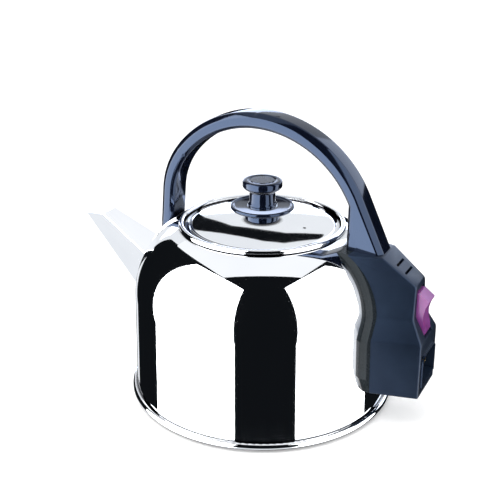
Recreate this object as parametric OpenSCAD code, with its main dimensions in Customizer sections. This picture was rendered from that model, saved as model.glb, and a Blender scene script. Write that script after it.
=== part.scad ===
// Corded electric kettle: steel dome body, folded spout, bail handle,
// rear control housing with rocker switch, lift-off lid with a knob.
// Millimetres, +Z up, origin at the centre of the base on the standing plane.
// Spout towards -X, control housing towards +X, symmetric about the XZ plane.

/* [View] */
// node drawn on its own, or all of them

/* [Body] */
// outside radius of the rolled base rim
rim_r = 100; // [99:0.5:104]
// outside radius of the wall just above the rim
wall_r = 96.5; // [96:0.1:97.5]
// outside radius of the wall where the dome starts
shoulder_r = 95.3; // [94.8:0.1:95.8]
// height where the wall turns into the dome
shoulder_z = 78; // [77:0.5:79]
// radius of the dome arc
dome_arc = 56.4; // [56:0.1:57]
// sheet thickness of the body
sheet = 1; // [0.8:0.1:1.2]

/* [Mouth and lid] */
// radius of the filling mouth
mouth_r = 58.2; // [58:0.1:58.4]
// height of the centre line of the mouth bead
mouth_z = 131.6; // [131.4:0.1:132]
// radius of the lid plate
lid_r = 57.4; // [56.8:0.1:57.6]
// depth of the lid skirt below the plate
skirt_depth = 12; // [8:0.5:16]

/* [Knob] */
// radius of the finger disc of the knob
knob_flange_r = 23.8; // [21:0.2:26]
// radius of the knob head
knob_head_r = 14.6; // [12.6:0.2:17]
// height of the knob head top above the standing plane
knob_top = 164.5; // [162:0.5:168]

/* [Handle] */
// width of the handle bar
bar_w = 22; // [19:0.5:24]
// depth of the handle bar
bar_t = 11.5; // [10:0.5:12.5]
// corner chamfer of the handle bar
bar_chamfer = 3; // [1:0.25:3.5]

/* [Housing] */
// rear face of the lower box, from the body axis
box_x = 130.5; // [130:0.5:133]
// half width of the lower box at its rear face
box_hw = 19; // [18:0.5:20]
// underside of the control housing
box_z = 27.5; // [26:0.5:29]
// moulding wall thickness
wall = 2.5; // [2:0.1:2.8]

/* [Switch and inlet] */
// length of the rocker
rocker_len = 31; // [29:0.5:32]
// width of the rocker
rocker_w = 14; // [12:0.5:14.5]
// height of the inlet centre
inlet_z = 47; // [46:0.5:49]

/* [Element] */
// diameter of the heating tube
tube_d = 8; // [6:0.5:9]
// height of the heating tube above the standing plane
tube_z = 24; // [20:0.5:27]

/* [Hidden] */
$fn = 96;
eps = 0.01;
fit = 0.05;

rim_z = 4;
rim_bead = 2.4;
pan_r = 95.3;
wall_z0 = 6.4;
dome_c = shoulder_r - dome_arc;
dome_top_r = 59.4;

// spout: V trough with a top plate
spout_tip = [-161, 113];
spout_plate_tip = [-138.5, 117.2];
spout_plate_tip_hw = 8;
spout_plate_root = [-97, 95];
spout_plate_root_hw = 15;
spout_root_z = 38;
spout_sheet = 1;

// handle path: arc centres and outer radii, angles from +X
arc_b = [-1.5, 131.5];
arc_b_r = 84;
ang_ab = 142;
arc_a_r = 65;
arc_a = [arc_b[0] + (arc_b_r - arc_a_r) * cos(ang_ab), arc_b[1] + (arc_b_r - arc_a_r) * sin(ang_ab)];
arc_c_r = 90;
arc_c = [arc_b[0], arc_b[1] + arc_b_r - arc_c_r];
leg_lean = 4.5;
ang_rear = 24.4;
foot_z = 100;
lap = 1.5;
lap_step = 0.04;
stud_x = -78.6;
rear_top = [arc_c[0] + arc_c_r * cos(ang_rear), arc_c[1] + arc_c_r * sin(ang_rear)];
rear_in = [arc_c[0] + (arc_c_r - bar_t) * cos(ang_rear), arc_c[1] + (arc_c_r - bar_t) * sin(ang_rear)];
deck_z = 126.3;
rear_low_z = deck_z + fit;
rear_low = [rear_top[0] + (rear_top[1] - rear_low_z) * tan(ang_rear), rear_low_z];
rear_low_in = [69.5, rear_low_z];
tenon_x0 = 75;
tenon_x1 = 91;
tenon_hw = 7;
tenon_depth = 14;
tenon_screw_x = 83;
handle_screw_z = 118;

// housing outline
ridge = [122.3, 108];
upper_x = 122.4;
shoulder_lo = 69;
shoulder_hi = 84.5;
front_x = 98;
front_lo_hw = 26.5;
front_hi_hw = 19.6;
plan_ang = atan2(front_lo_hw - box_hw, box_x - front_x);
deck_hw = 13.9;
flange_t = 5;
flange_hw_lo = 30.5;
flange_hw_mid = 24.5;
flange_hw_top = 17.5;
flange_top_z = 126.2;
vent_len = 14;
vent_w = 1.8;

// rocker and switch
rocker_z = 86.5;
rocker_x = 117;
pivot_r = 1.5;
window_hw = rocker_w / 2 + 0.6;
window_z0 = 69.6;
window_z1 = 104.2;
frame_x0 = 104;

// inlet
inlet_w = 27.4;
inlet_h = 20.2;
inlet_wall = 1.6;
inlet_x0 = 108;
inlet_x1 = box_x + 1.2;
pin_x0 = 101;
pin_x1 = 127;

// element head and control
head_z = 49.5;
head_hole_r = 14;
head_flange_r = 20;
clamp_circle = 10.8;
screw_y = 14;
screw_z = 75;
steam_z = 103;
head_x0 = 87;
head_x1 = 90;
block_x0 = 98;
block_x1 = 107.6;

// ---------- helpers ----------

// extrude an XZ outline along Y, centred
module side(w) {
  rotate([90, 0, 0]) linear_extrude(w, center = true) children();
}

// solid of revolution of the body outline grown by g, with its axis filled
module body_solid(g) {
  rotate_extrude() {
    union() {
      polygon([
        [0, -eps], [wall_r + g, -eps], [wall_r + g, wall_z0],
        [shoulder_r + g, shoulder_z], [0, shoulder_z]
      ]);
      intersection() {
        translate([dome_c, shoulder_z]) circle(dome_arc + g, $fn = 180);
        translate([0, shoulder_z - eps]) square([200, 200]);
      }
      translate([0, shoulder_z - eps]) square([dome_c + 1, dome_arc + g]);
    }
  }
}

// half plane strip outline of the body sheet
module body_profile() {
  polygon([
    [wall_r - sheet, wall_z0], [wall_r, wall_z0],
    [shoulder_r, shoulder_z], [shoulder_r - sheet, shoulder_z]
  ]);
  intersection() {
    difference() {
      translate([dome_c, shoulder_z]) circle(dome_arc, $fn = 180);
      translate([dome_c, shoulder_z]) circle(dome_arc - sheet, $fn = 180);
    }
    translate([dome_top_r, shoulder_z]) square([60, 70]);
  }
}

// ---------- body ----------

module body_shell() {
  color([0.82, 0.83, 0.85])
  difference() {
    rotate_extrude() body_profile();
    // strainer holes behind the spout
    for (row = [0 : 3]) {
      for (i = [0 : min(row, 2)]) {
        translate([-90, (i - min(row, 2) / 2) * 6.6, 60 + row * 7.6])
          rotate([0, -90, 0]) cylinder(d = 4, h = 14, $fn = 32);
      }
    }
    // element head hole
    translate([80, 0, head_z]) rotate([0, 90, 0]) cylinder(r = head_hole_r, h = 30);
    // steam port under the housing top
    translate([70, 0, steam_z]) rotate([0, 90, 0]) cylinder(d = 9, h = 30, $fn = 48);
    // holes for the two housing screws
    for (s = [-1, 1]) {
      translate([80, s * screw_y, screw_z]) rotate([0, 90, 0]) cylinder(d = 4.2, h = 20, $fn = 32);
    }
  }
}

// pan closing the bottom, flat with one raised stiffening ring
module base_plate() {
  color([0.74, 0.75, 0.77])
  rotate_extrude()
    polygon([
      [0, 0], [60, 0], [62, 1.6], [80, 1.6], [82, 0], [pan_r - 3, 0], [pan_r, 2.2],
      [pan_r, 7.4], [pan_r - sheet, 7.4], [pan_r - sheet, 3], [pan_r - 3.6, 1.2],
      [82.6, 1.2], [80.6, 2.8], [61.4, 2.8], [59.4, 1.2], [0, 1.2]
    ]);
}

// rolled seam round the foot of the wall
module base_rim() {
  color([0.85, 0.86, 0.88])
  rotate_extrude()
    difference() {
      union() {
        translate([rim_r - rim_bead, rim_z]) circle(rim_bead, $fn = 48);
        translate([pan_r + 0.02, 1.8]) square([rim_r - rim_bead - pan_r, 4.6]);
      }
      translate([pan_r - 5, -1]) square([5.02, 12]);
      translate([pan_r - 5, 6.4]) square([14, 12]);
    }
}

// rolled bead, inner collar and the ledge the lid rests on
module mouth_ring() {
  color([0.88, 0.89, 0.9])
  rotate_extrude()
    union() {
      difference() {
        translate([mouth_r + 1.6, mouth_z]) circle(2.1, $fn = 48);
        translate([mouth_r - 5, mouth_z - 10]) square([5, 30]);
        intersection() {
          translate([dome_c, shoulder_z]) circle(dome_arc, $fn = 180);
          translate([dome_top_r - 0.04, shoulder_z]) square([60, 70]);
        }
        translate([mouth_r, mouth_z - 10]) square([1.16, 8.8]);
      }
      translate([mouth_r, mouth_z - 9]) square([1.14, 7.9]);
      translate([mouth_r - 1.5, mouth_z - 3.6]) square([1.6, 1]);
    }
}

// ---------- spout ----------

// removes everything beyond the plane through p with normal n, pulled in by g
module beyond(p, n, g) {
  translate(p)
    rotate([0, 0, atan2(-n[0], n[1])])
      rotate([asin(n[2] / norm(n)), 0, 0])
        translate([-300, -g, -300]) cube([600, 600, 600]);
}

// outside of the V trough as a solid wedge, root running into the body;
// g pulls the sides in, and the pulled-in wedge also stands above the rim
module spout_wedge(g) {
  lift = g > 0 ? 2 : 0;
  root_x = -86;
  slope = (spout_plate_tip[1] - spout_plate_root[1]) / (spout_plate_root[0] - spout_plate_tip[0]);
  keel = (spout_tip[1] - spout_root_z) / (-97 - spout_tip[0]);
  top_root = spout_plate_root[1] - slope * (root_x - spout_plate_root[0]);
  keel_root = spout_root_z - keel * (root_x + 97);
  tip = [spout_tip[0], 0, spout_tip[1]];
  n = cross(
    [spout_plate_tip[0], spout_plate_tip_hw, spout_plate_tip[1]] - tip,
    [root_x, 0, keel_root] - tip
  );
  difference() {
    side(60)
      polygon([
        [spout_tip[0] - lift, spout_tip[1] + lift], [spout_plate_tip[0], spout_plate_tip[1] + lift],
        [root_x, top_root + lift], [root_x, keel_root]
      ]);
    beyond(tip, n, g);
    mirror([0, 1, 0]) beyond(tip, n, g);
  }
}

module spout_trough() {
  color([0.84, 0.85, 0.87])
  difference() {
    spout_wedge(0);
    spout_wedge(spout_sheet);
    body_solid(0);
  }
}

// flat top plate with a short tab lying on the dome
module spout_plate() {
  run = spout_plate_root[0] - spout_plate_tip[0];
  drop = spout_plate_tip[1] - spout_plate_root[1];
  len = sqrt(run * run + drop * drop);
  pitch = atan2(drop, run);
  color([0.86, 0.87, 0.89])
  difference() {
    union() {
      translate([spout_plate_tip[0], 0, spout_plate_tip[1] + 0.05])
        rotate([0, pitch, 0])
          linear_extrude(spout_sheet)
            polygon([
              [0, -spout_plate_tip_hw], [len + 8, -spout_plate_root_hw - 1.3],
              [len + 8, spout_plate_root_hw + 1.3], [0, spout_plate_tip_hw]
            ]);
      intersection() {
        body_solid(0.9);
        translate([-96.15, -8.5, 90]) cube([4, 17, 9]);
      }
    }
    body_solid(0);
  }
}

// ---------- handle ----------

// chamfered bar section pulled in by g
// x: depth measured inwards from the outer face, y: across
module bar_section(g) {
  hw = bar_w / 2 - g;
  c = bar_chamfer;
  polygon([
    [-g, -hw + c], [-g, hw - c], [-g - c, hw], [-bar_t + g + c, hw],
    [-bar_t + g, hw - c], [-bar_t + g, -hw + c], [-bar_t + g + c, -hw], [-g - c, -hw]
  ]);
}

module bar_arc(c, r, a0, a1, g) {
  translate([c[0], 0, c[1]])
    rotate([90, 0, 0])
      rotate([0, 0, a0])
        rotate_extrude(angle = a1 - a0, $fn = 180)
          translate([r, 0]) bar_section(g);
}

// point on the outer edge of the front leg where the arc ends
leg_top = [arc_a[0] - arc_a_r * cos(leg_lean), arc_a[1] + arc_a_r * sin(leg_lean)];

module handle_front_leg(g) {
  translate([leg_top[0], 0, leg_top[1]])
    rotate([0, leg_lean, 0])
      translate([0, 0, -(leg_top[1] - foot_z)])
        linear_extrude(leg_top[1] - foot_z + lap)
          mirror([1, 0]) bar_section(g);
}

// removes the corner along the line p to q at side s
module edge_cut(p, q, s) {
  ang = atan2(q[1] - p[1], q[0] - p[0]);
  cut = bar_chamfer * sqrt(2);
  translate([p[0], s * bar_w / 2, p[1]])
    rotate([0, -ang, 0])
      translate([-30, 0, 0])
        rotate([45, 0, 0])
          translate([0, -cut / 2, -cut / 2]) cube([110, cut, cut]);
}

module handle_rear_leg(g) {
  // the top runs on by the lap inside the end of the arc
  up = [-sin(ang_rear), cos(ang_rear)] * lap;
  out = [cos(ang_rear), sin(ang_rear)] * g;
  difference() {
    side(bar_w - 2 * g)
      polygon([rear_top - out + up, rear_low - out, rear_low_in, rear_in + out, rear_in + out + up]);
    for (s = [-1, 1]) {
      edge_cut(rear_top - out, rear_low - out, s);
      edge_cut(rear_low_in, rear_in + out, s);
    }
  }
}

// each stretch of the bar laps a little way inside the next, larger one
module handle() {
  color([0.05, 0.05, 0.08])
  difference() {
    union() {
      bar_arc(arc_b, arc_b_r, 90, ang_ab, 0);
      bar_arc(arc_a, arc_a_r, ang_ab - 1, 180 - leg_lean, lap_step);
      bar_arc(arc_c, arc_c_r, ang_rear, 91, lap_step);
      handle_front_leg(2 * lap_step);
      handle_rear_leg(2 * lap_step);
      translate([tenon_x0, -tenon_hw, deck_z - tenon_depth])
        cube([tenon_x1 - tenon_x0, 2 * tenon_hw, tenon_depth + 4]);
    }
    // foot follows the dome above its bracket
    body_solid(1.6);
    // stud hole in the foot
    translate([stud_x, 0, 110]) cylinder(d = 4, h = 28, $fn = 32);
    // screw hole across the tenon
    translate([tenon_screw_x, 0, handle_screw_z]) rotate([90, 0, 0])
      cylinder(d = 3.3, h = 40, center = true, $fn = 32);
  }
}

// pressed steel saddle between the dome and the front foot
module front_bracket() {
  color([0.8, 0.81, 0.83])
  difference() {
    intersection() {
      body_solid(1.6);
      translate([-92, -bar_w / 2 - 1.2, 95]) cube([25, bar_w + 2.4, 40]);
    }
    body_solid(0);
  }
}

// stud welded on the bracket, standing up into the foot
module bracket_stud() {
  color([0.7, 0.7, 0.72])
  difference() {
    translate([stud_x, 0, 110]) cylinder(d = 3.96, h = 26, $fn = 48);
    body_solid(1.6);
  }
}

// screw locking the tenon in the housing
module handle_screw() {
  color([0.7, 0.7, 0.72])
  translate([tenon_screw_x, 0, handle_screw_z]) rotate([90, 0, 0])
    cylinder(d = 3.24, h = 18, center = true, $fn = 48);
}

// ---------- housing ----------

// outline of the flange seen from the rear
module flange_outline() {
  polygon([
    [-(front_lo_hw - 1), box_z], [front_lo_hw - 1, box_z],
    [flange_hw_lo, 40], [flange_hw_lo, shoulder_lo - 1],
    [flange_hw_mid, shoulder_hi], [flange_hw_top, flange_top_z],
    [-flange_hw_top, flange_top_z], [-flange_hw_mid, shoulder_hi],
    [-flange_hw_lo, shoulder_lo - 1], [-flange_hw_lo, 40]
  ]);
}

// openings through the flange: lower for the inlet, upper for the steam
module flange_windows() {
  polygon([
    [-20.5, 32.5], [20.5, 32.5], [25.5, 44], [25.5, 66],
    [-25.5, 66], [-25.5, 44]
  ]);
  polygon([[-16, 84], [16, 84], [8.6, 119], [-8.6, 119]]);
  // slot for the lower end of the trip lever
  translate([-5, 72]) square([10, 14]);
}

// room for the tenon of the handle and its cross screw, driven in from the +Y side
module tenon_pocket() {
  translate([tenon_x0 - fit, -tenon_hw - fit, deck_z - tenon_depth - fit])
    cube([tenon_x1 - tenon_x0 + 2 * fit, 2 * (tenon_hw + fit), tenon_depth + 10]);
  translate([tenon_screw_x, -9.2, handle_screw_z]) rotate([-90, 0, 0])
    cylinder(d = 3.4, h = 30, $fn = 32);
}

// frame that hugs the wall and dome and carries the housing
module housing_flange() {
  color([0.42, 0.44, 0.46])
  difference() {
    intersection() {
      body_solid(flange_t);
      translate([66, 0, 0]) rotate([90, 0, 90]) linear_extrude(60) flange_outline();
    }
    body_solid(0);
    rotate([90, 0, 90]) linear_extrude(140) flange_windows();
    tenon_pocket();
    for (s = [-1, 1]) {
      translate([80, s * screw_y, screw_z]) rotate([0, 90, 0]) cylinder(d = 3.4, h = 40, $fn = 32);
    }
  }
}

// plan of the lower box pulled in by g, from the body to x = rear
module box_plan(g, rear) {
  gy = g / cos(plan_ang);
  rear_hw = box_hw - (rear - box_x) * tan(plan_ang) - gy;
  body_hw = front_lo_hw + (front_x - 84) * tan(plan_ang) - gy;
  polygon([[rear, -rear_hw], [rear, rear_hw], [84, body_hw], [84, -body_hw]]);
}

// outward normal of the side plane through two heights of the front corner
function lean_normal(hw, z, top_hw, top_z) =
  let (n = cross([0, top_hw - hw, top_z - z], [-cos(plan_ang), sin(plan_ang), 0]))
  n[1] > 0 ? n : -n;

module lean_cut(hw, z, top_hw, top_z, g) {
  n = lean_normal(hw, z, top_hw, top_z);
  beyond([front_x, hw, z], n, g);
  mirror([0, 1, 0]) beyond([front_x, hw, z], n, g);
}

// lower box with its shoulder, running up inside the upper block
module lower_block(g, z0) {
  run_up = 6;
  slope = (box_x - upper_x) / (shoulder_hi - shoulder_lo);
  difference() {
    intersection() {
      side(90)
        polygon([
          [88, z0], [box_x - g, z0], [box_x - g, shoulder_lo],
          [upper_x - g - slope * run_up, shoulder_hi + run_up], [88, shoulder_hi + run_up]
        ]);
      linear_extrude(120) box_plan(g, box_x + 6);
    }
    lean_cut(front_lo_hw, shoulder_lo, front_hi_hw, shoulder_hi, g);
  }
}

// upper block with the sloping top, running down inside the lower one
module upper_block(g) {
  difference() {
    side(90)
      polygon([
        [66, 74], [upper_x - g, 74], [ridge[0] - g, ridge[1] - g * 0.6],
        [front_x - g * 0.4, deck_z - g], [66, deck_z - g]
      ]);
    lean_cut(front_hi_hw, shoulder_hi, deck_hw, deck_z, g);
  }
}

module housing_block(g, z0) {
  lower_block(g, z0);
  upper_block(g);
}

// slots in the sloping top, lying across it
module vent(t) {
  // t: 0 at the deck edge, 1 at the ridge
  vx = front_x + (ridge[0] - front_x) * t;
  vz = deck_z + (ridge[1] - deck_z) * t;
  pitch = atan2(deck_z - ridge[1], ridge[0] - front_x);
  translate([vx, 0, vz]) rotate([0, pitch, 0]) translate([0, 0, -3])
    cube([vent_w, vent_len, 12], center = true);
}

module housing_shell() {
  color([0.07, 0.08, 0.11])
  difference() {
    union() {
      difference() {
        housing_block(0, box_z);
        housing_block(wall, box_z - 5);
      }
      // socket for the handle tenon
      intersection() {
        translate([tenon_x0 - 3, -tenon_hw - 2.5, deck_z - tenon_depth - 2])
          cube([tenon_x1 - tenon_x0 + 6, 2 * tenon_hw + 5, tenon_depth + 1]);
        housing_block(wall / 2, box_z);
      }
      // bosses for the housing screws
      for (s = [-1, 1]) {
        intersection() {
          translate([98, s * 17 - 6.5, screw_z - 3]) cube([11, 13, 6]);
          housing_block(wall / 2, box_z);
        }
      }
    }
    body_solid(flange_t + fit);
    tenon_pocket();
    // rocker window, cut straight back through the rear face and shoulder
    translate([110, -window_hw, window_z0]) cube([40, 2 * window_hw, window_z1 - window_z0]);
    // inlet opening
    translate([120, -inlet_w / 2 - inlet_wall - fit, inlet_z - inlet_h / 2 - inlet_wall - fit])
      cube([20, inlet_w + 2 * (inlet_wall + fit), inlet_h + 2 * (inlet_wall + fit)]);
    vent(0.36);
    vent(0.62);
    for (s = [-1, 1]) {
      translate([90, s * screw_y, screw_z]) rotate([0, 90, 0]) cylinder(d = 3, h = 17, $fn = 32);
    }
  }
}

// plate snapped into the open underside
module housing_floor() {
  color([0.1, 0.1, 0.12])
  difference() {
    translate([0, 0, box_z + 0.5]) linear_extrude(2) box_plan(wall + fit, box_x - wall - fit);
    body_solid(flange_t + fit);
    for (i = [-1 : 1]) {
      translate([116, i * 7, box_z]) cylinder(d = 3, h = 8, $fn = 32);
    }
  }
}

// screws from inside the body into the housing bosses
module housing_screws() {
  color([0.7, 0.7, 0.72])
  for (s = [-1, 1]) {
    translate([0, s * screw_y, screw_z]) rotate([0, 90, 0])
      difference() {
        union() {
          translate([0, 0, 90.2]) cylinder(d = 7.6, h = 2.6, $fn = 48);
          translate([0, 0, 91]) cylinder(d = 2.96, h = 15, $fn = 48);
        }
        translate([0, 0, 90]) cube([1, 6, 2], center = true);
      }
  }
}

// ---------- switch ----------

// concave rocker, top end standing out, pivot at the origin
module rocker_body(len, w) {
  hl = len / 2;
  difference() {
    side(w)
      difference() {
        polygon([
          [2.6, hl], [6.6, hl + 0.2], [13.7, hl - 5.2],
          [10.6, 0], [12, -hl + 1], [10.8, -hl], [2.6, -hl + 1]
        ]);
        translate([30.2, -1.8]) circle(20, $fn = 120);
      }
    // hollow behind the face
    side(w - 3)
      polygon([[2.5, hl - 3], [6.6, hl - 3], [8, 3], [8, -hl + 4], [2.5, -hl + 4]]);
  }
}

module rocker() {
  color([0.72, 0.27, 0.55])
  translate([rocker_x, 0, rocker_z])
    difference() {
      union() {
        rocker_body(rocker_len, rocker_w);
        // pivot web with the tail the push rod works on
        side(5)
          polygon([[8.4, 4.5], [-3, 3], [-3, -9], [-0.4, -9], [0, -4], [8.4, -4.5]]);
      }
      rotate([90, 0, 0]) cylinder(r = pivot_r + fit, h = 40, center = true, $fn = 48);
    }
}

module rocker_pin() {
  color([0.75, 0.75, 0.76])
  translate([rocker_x, 0, rocker_z]) rotate([90, 0, 0])
    cylinder(r = pivot_r, h = 19.6, center = true, $fn = 48);
}

lever_x = 100.5;
lever_z = 115.5;
lever_pin_r = 1.25;
rod_z = 79.5;
rod_x0 = 102.3;
rod_x1 = 113.6;
rod_r = 1.5;

// insulating frame with cheeks for the rocker pin and arms for the lever
module switch_frame() {
  color([0.15, 0.15, 0.17])
  difference() {
    union() {
      // back wall
      translate([frame_x0, -9.6, rocker_z - 15]) cube([2.5, 19.2, 30]);
      // cheeks beside the rocker
      for (s = [-1, 1]) {
        translate([frame_x0, s * 8.8 - 0.8, rocker_z - 6])
          cube([15.6, 1.6, 12]);
      }
      // top and bottom webs
      for (s = [-1, 1]) {
        translate([frame_x0, -9.6, rocker_z + s * 14 - 1]) cube([9, 19.2, 2]);
      }
      // arms up to the lever pivot
      for (s = [-1, 1]) {
        translate([0, s * 6.6, 0]) side(2)
          polygon([
            [98.3, 112], [98.3, 118.4], [102.4, 118.4], [106.5, 112],
            [106.5, 100], [frame_x0, 100], [frame_x0, 109]
          ]);
      }
    }
    translate([rocker_x, 0, rocker_z]) rotate([90, 0, 0])
      cylinder(r = pivot_r, h = 40, center = true, $fn = 48);
    translate([lever_x, 0, lever_z]) rotate([90, 0, 0])
      cylinder(r = lever_pin_r, h = 40, center = true, $fn = 48);
    translate([frame_x0 - 5, 0, rod_z]) rotate([0, 90, 0])
      cylinder(r = rod_r + fit, h = 20, $fn = 48);
  }
}

// pair of blades and terminals in the switch frame
module switch_contacts() {
  color([0.78, 0.6, 0.3])
  for (s = [-1, 1]) {
    translate([frame_x0 + 2.5, s * 5.5 - 1.5, rocker_z + 4]) cube([5, 3, 0.8]);
    translate([frame_x0 + 2.5, s * 5.5 - 1.5, rocker_z - 4]) cube([5, 3, 0.8]);
    translate([frame_x0 - 2.6, s * 5.5 - 1.5, rocker_z + 4]) cube([2.6, 3, 0.8]);
  }
}

// indicator lamp behind the rocker
module neon_lamp() {
  color([0.95, 0.6, 0.35])
  translate([frame_x0 + 2.5, 0, rocker_z + 9]) rotate([0, 90, 0])
    union() {
      cylinder(d = 5, h = 5, $fn = 48);
      translate([0, 0, 5]) cylinder(d1 = 5, d2 = 2.5, h = 2.2, $fn = 48);
    }
}

// lever hanging from its pivot, pushed by the steam disc
module trip_lever() {
  color([0.86, 0.86, 0.82])
  translate([lever_x, 0, lever_z])
    difference() {
      union() {
        rotate([90, 0, 0]) cylinder(r = 2.8, h = 6, center = true, $fn = 48);
        translate([-1, -3, rod_z - 3 - lever_z]) cube([2, 6, lever_z - rod_z + 3]);
      }
      rotate([90, 0, 0]) cylinder(r = lever_pin_r + fit, h = 20, center = true, $fn = 48);
    }
}

module lever_pin() {
  color([0.75, 0.75, 0.76])
  translate([lever_x, 0, lever_z]) rotate([90, 0, 0])
    cylinder(r = lever_pin_r, h = 15.2, center = true, $fn = 48);
}

// rod from the lever through the frame to the rocker tail
module push_rod() {
  color([0.86, 0.86, 0.82])
  translate([rod_x0, 0, rod_z]) rotate([0, 90, 0]) cylinder(r = rod_r, h = rod_x1 - rod_x0, $fn = 48);
}

// dished disc that snaps when steam reaches it, riveted to the flange
module steam_bimetal() {
  color([0.72, 0.6, 0.42])
  difference() {
    union() {
      translate([95.4, 0, steam_z]) rotate([0, 90, 0]) cylinder(d = 14, h = 0.8, $fn = 64);
      translate([95.4, -14.5, steam_z - 2]) cube([0.8, 29, 4]);
      for (s = [-1, 1]) {
        translate([90, s * 13.2, steam_z]) rotate([0, 90, 0]) cylinder(d = 2.2, h = 6.8, $fn = 32);
      }
    }
    translate([94, 0, steam_z]) rotate([0, 90, 0]) cylinder(d = 4, h = 4, $fn = 32);
    body_solid(flange_t);
  }
}

// soft sleeve in the steam port
module steam_grommet() {
  color([0.2, 0.2, 0.2])
  difference() {
    union() {
      translate([85, 0, steam_z]) rotate([0, 90, 0]) cylinder(d = 8.9, h = 7, $fn = 48);
      intersection() {
        translate([82, 0, steam_z]) rotate([0, 90, 0]) cylinder(d = 13, h = 12, $fn = 48);
        difference() {
          body_solid(2);
          body_solid(0);
        }
      }
    }
    translate([70, 0, steam_z]) rotate([0, 90, 0]) cylinder(d = 5.5, h = 40, $fn = 48);
  }
}

// ---------- inlet ----------

module inlet_shroud() {
  w = inlet_w + 2 * inlet_wall;
  h = inlet_h + 2 * inlet_wall;
  color([0.08, 0.08, 0.09])
  difference() {
    translate([inlet_x0, -w / 2, inlet_z - h / 2]) cube([inlet_x1 - inlet_x0, w, h]);
    translate([inlet_x0 + 2, -inlet_w / 2, inlet_z - inlet_h / 2]) cube([40, inlet_w, inlet_h]);
    // keyed upper corners outside
    for (s = [-1, 1]) {
      translate([inlet_x0 + 8, s * w / 2, inlet_z + h / 2]) rotate([45, 0, 0])
        cube([60, 5, 5], center = true);
    }
    // pin slots
    inlet_pin_holes(fit);
  }
}

module pin_shape(y, z, g) {
  translate([pin_x0 - g, y - 2 - g, z - 1 - g]) cube([pin_x1 - pin_x0 + 2 * g, 4 + 2 * g, 2 + 2 * g]);
}

module inlet_pin_holes(g) {
  pin_shape(-7, inlet_z - 2, g);
  pin_shape(7, inlet_z - 2, g);
  pin_shape(0, inlet_z + 3, g);
}

// moulded carrier behind the shroud
module inlet_insulator() {
  color([0.85, 0.84, 0.78])
  difference() {
    translate([inlet_x0 - 0.4, -12, inlet_z - 8]) cube([0.4, 24, 16]);
    inlet_pin_holes(fit);
  }
}

module pin_line() {
  color([0.8, 0.72, 0.5]) pin_shape(-7, inlet_z - 2, 0);
}

module pin_neutral() {
  color([0.8, 0.72, 0.5]) pin_shape(7, inlet_z - 2, 0);
}

module pin_earth() {
  color([0.8, 0.72, 0.5]) pin_shape(0, inlet_z + 3, 0);
}

// ---------- element and control ----------

module element_tube() {
  loop_r = 52;
  color([0.7, 0.68, 0.66])
  union() {
    // open loop in the water
    translate([0, 0, tube_z])
      rotate([0, 0, 14])
        rotate_extrude(angle = 332, $fn = 120) translate([loop_r, 0]) circle(d = tube_d, $fn = 48);
    // legs up to the head
    for (s = [-1, 1]) {
      translate([loop_r * cos(14), s * loop_r * sin(14), tube_z])
        sphere(d = tube_d + 0.6, $fn = 48);
      tube_between([loop_r * cos(14), s * loop_r * sin(14), tube_z], [76, s * 9, head_z - 4]);
      translate([76, s * 9, head_z - 4]) sphere(d = tube_d + 0.6, $fn = 48);
      translate([76, s * 9, head_z - 4]) rotate([0, 90, 0])
        cylinder(d = tube_d, h = head_x0 - 76, $fn = 48);
    }
  }
}

module tube_between(a, b) {
  v = b - a;
  len = norm(v);
  translate(a)
    rotate([0, acos(v[2] / len), atan2(v[1], v[0])])
      cylinder(d = tube_d, h = len, $fn = 48);
}

module element_head() {
  color([0.78, 0.66, 0.4])
  difference() {
    union() {
      translate([head_x0, 0, head_z]) rotate([0, 90, 0]) cylinder(r = head_flange_r, h = head_x1 - head_x0);
      translate([head_x1, 0, head_z]) rotate([0, 90, 0])
        cylinder(r = head_hole_r - 0.6, h = block_x0 - 2 - head_x1);
    }
    // pocket for the cut-out disc
    translate([block_x0 - 4, 0, head_z]) rotate([0, 90, 0]) cylinder(r = 7.8, h = 10, $fn = 64);
    clamp_holes(3.0, head_x1 - 1, 30);
  }
}

module clamp_holes(d, x, len) {
  for (a = [90, 210, 330]) {
    translate([x, clamp_circle * cos(a), head_z + clamp_circle * sin(a)]) rotate([0, 90, 0])
      cylinder(d = d, h = len, $fn = 32);
  }
}

module element_gasket() {
  color([0.25, 0.12, 0.1])
  difference() {
    translate([head_x1, 0, head_z]) rotate([0, 90, 0]) cylinder(r = head_flange_r, h = 12);
    // outer face follows the inside of the wall
    difference() {
      translate([80, -40, 0]) cube([60, 80, 100]);
      body_solid(-sheet);
    }
    translate([80, 0, head_z]) rotate([0, 90, 0]) cylinder(r = head_hole_r - 0.55, h = 40);
  }
}

// outside clamp that pulls the head against the gasket
module clamp_plate() {
  color([0.72, 0.73, 0.75])
  difference() {
    translate([block_x0 - 2, 0, head_z]) rotate([0, 90, 0]) cylinder(r = 16.5, h = 1.6);
    translate([block_x0 - 6, 0, head_z]) rotate([0, 90, 0]) cylinder(r = 7.8, h = 12, $fn = 64);
    clamp_holes(3.2, 80, 40);
  }
}

module clamp_screws() {
  color([0.7, 0.7, 0.72])
  for (a = [90, 210, 330]) {
    translate([0, clamp_circle * cos(a), head_z + clamp_circle * sin(a)]) rotate([0, 90, 0])
      difference() {
        union() {
          translate([0, 0, head_x1]) cylinder(d = 2.96, h = block_x0 - head_x1, $fn = 48);
          translate([0, 0, block_x0 - 0.4]) cylinder(d = 5.6, h = 2, $fn = 48);
        }
        translate([0, 0, block_x0 + 1.6]) cube([0.8, 4.6, 1.4], center = true);
      }
  }
}

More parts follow.
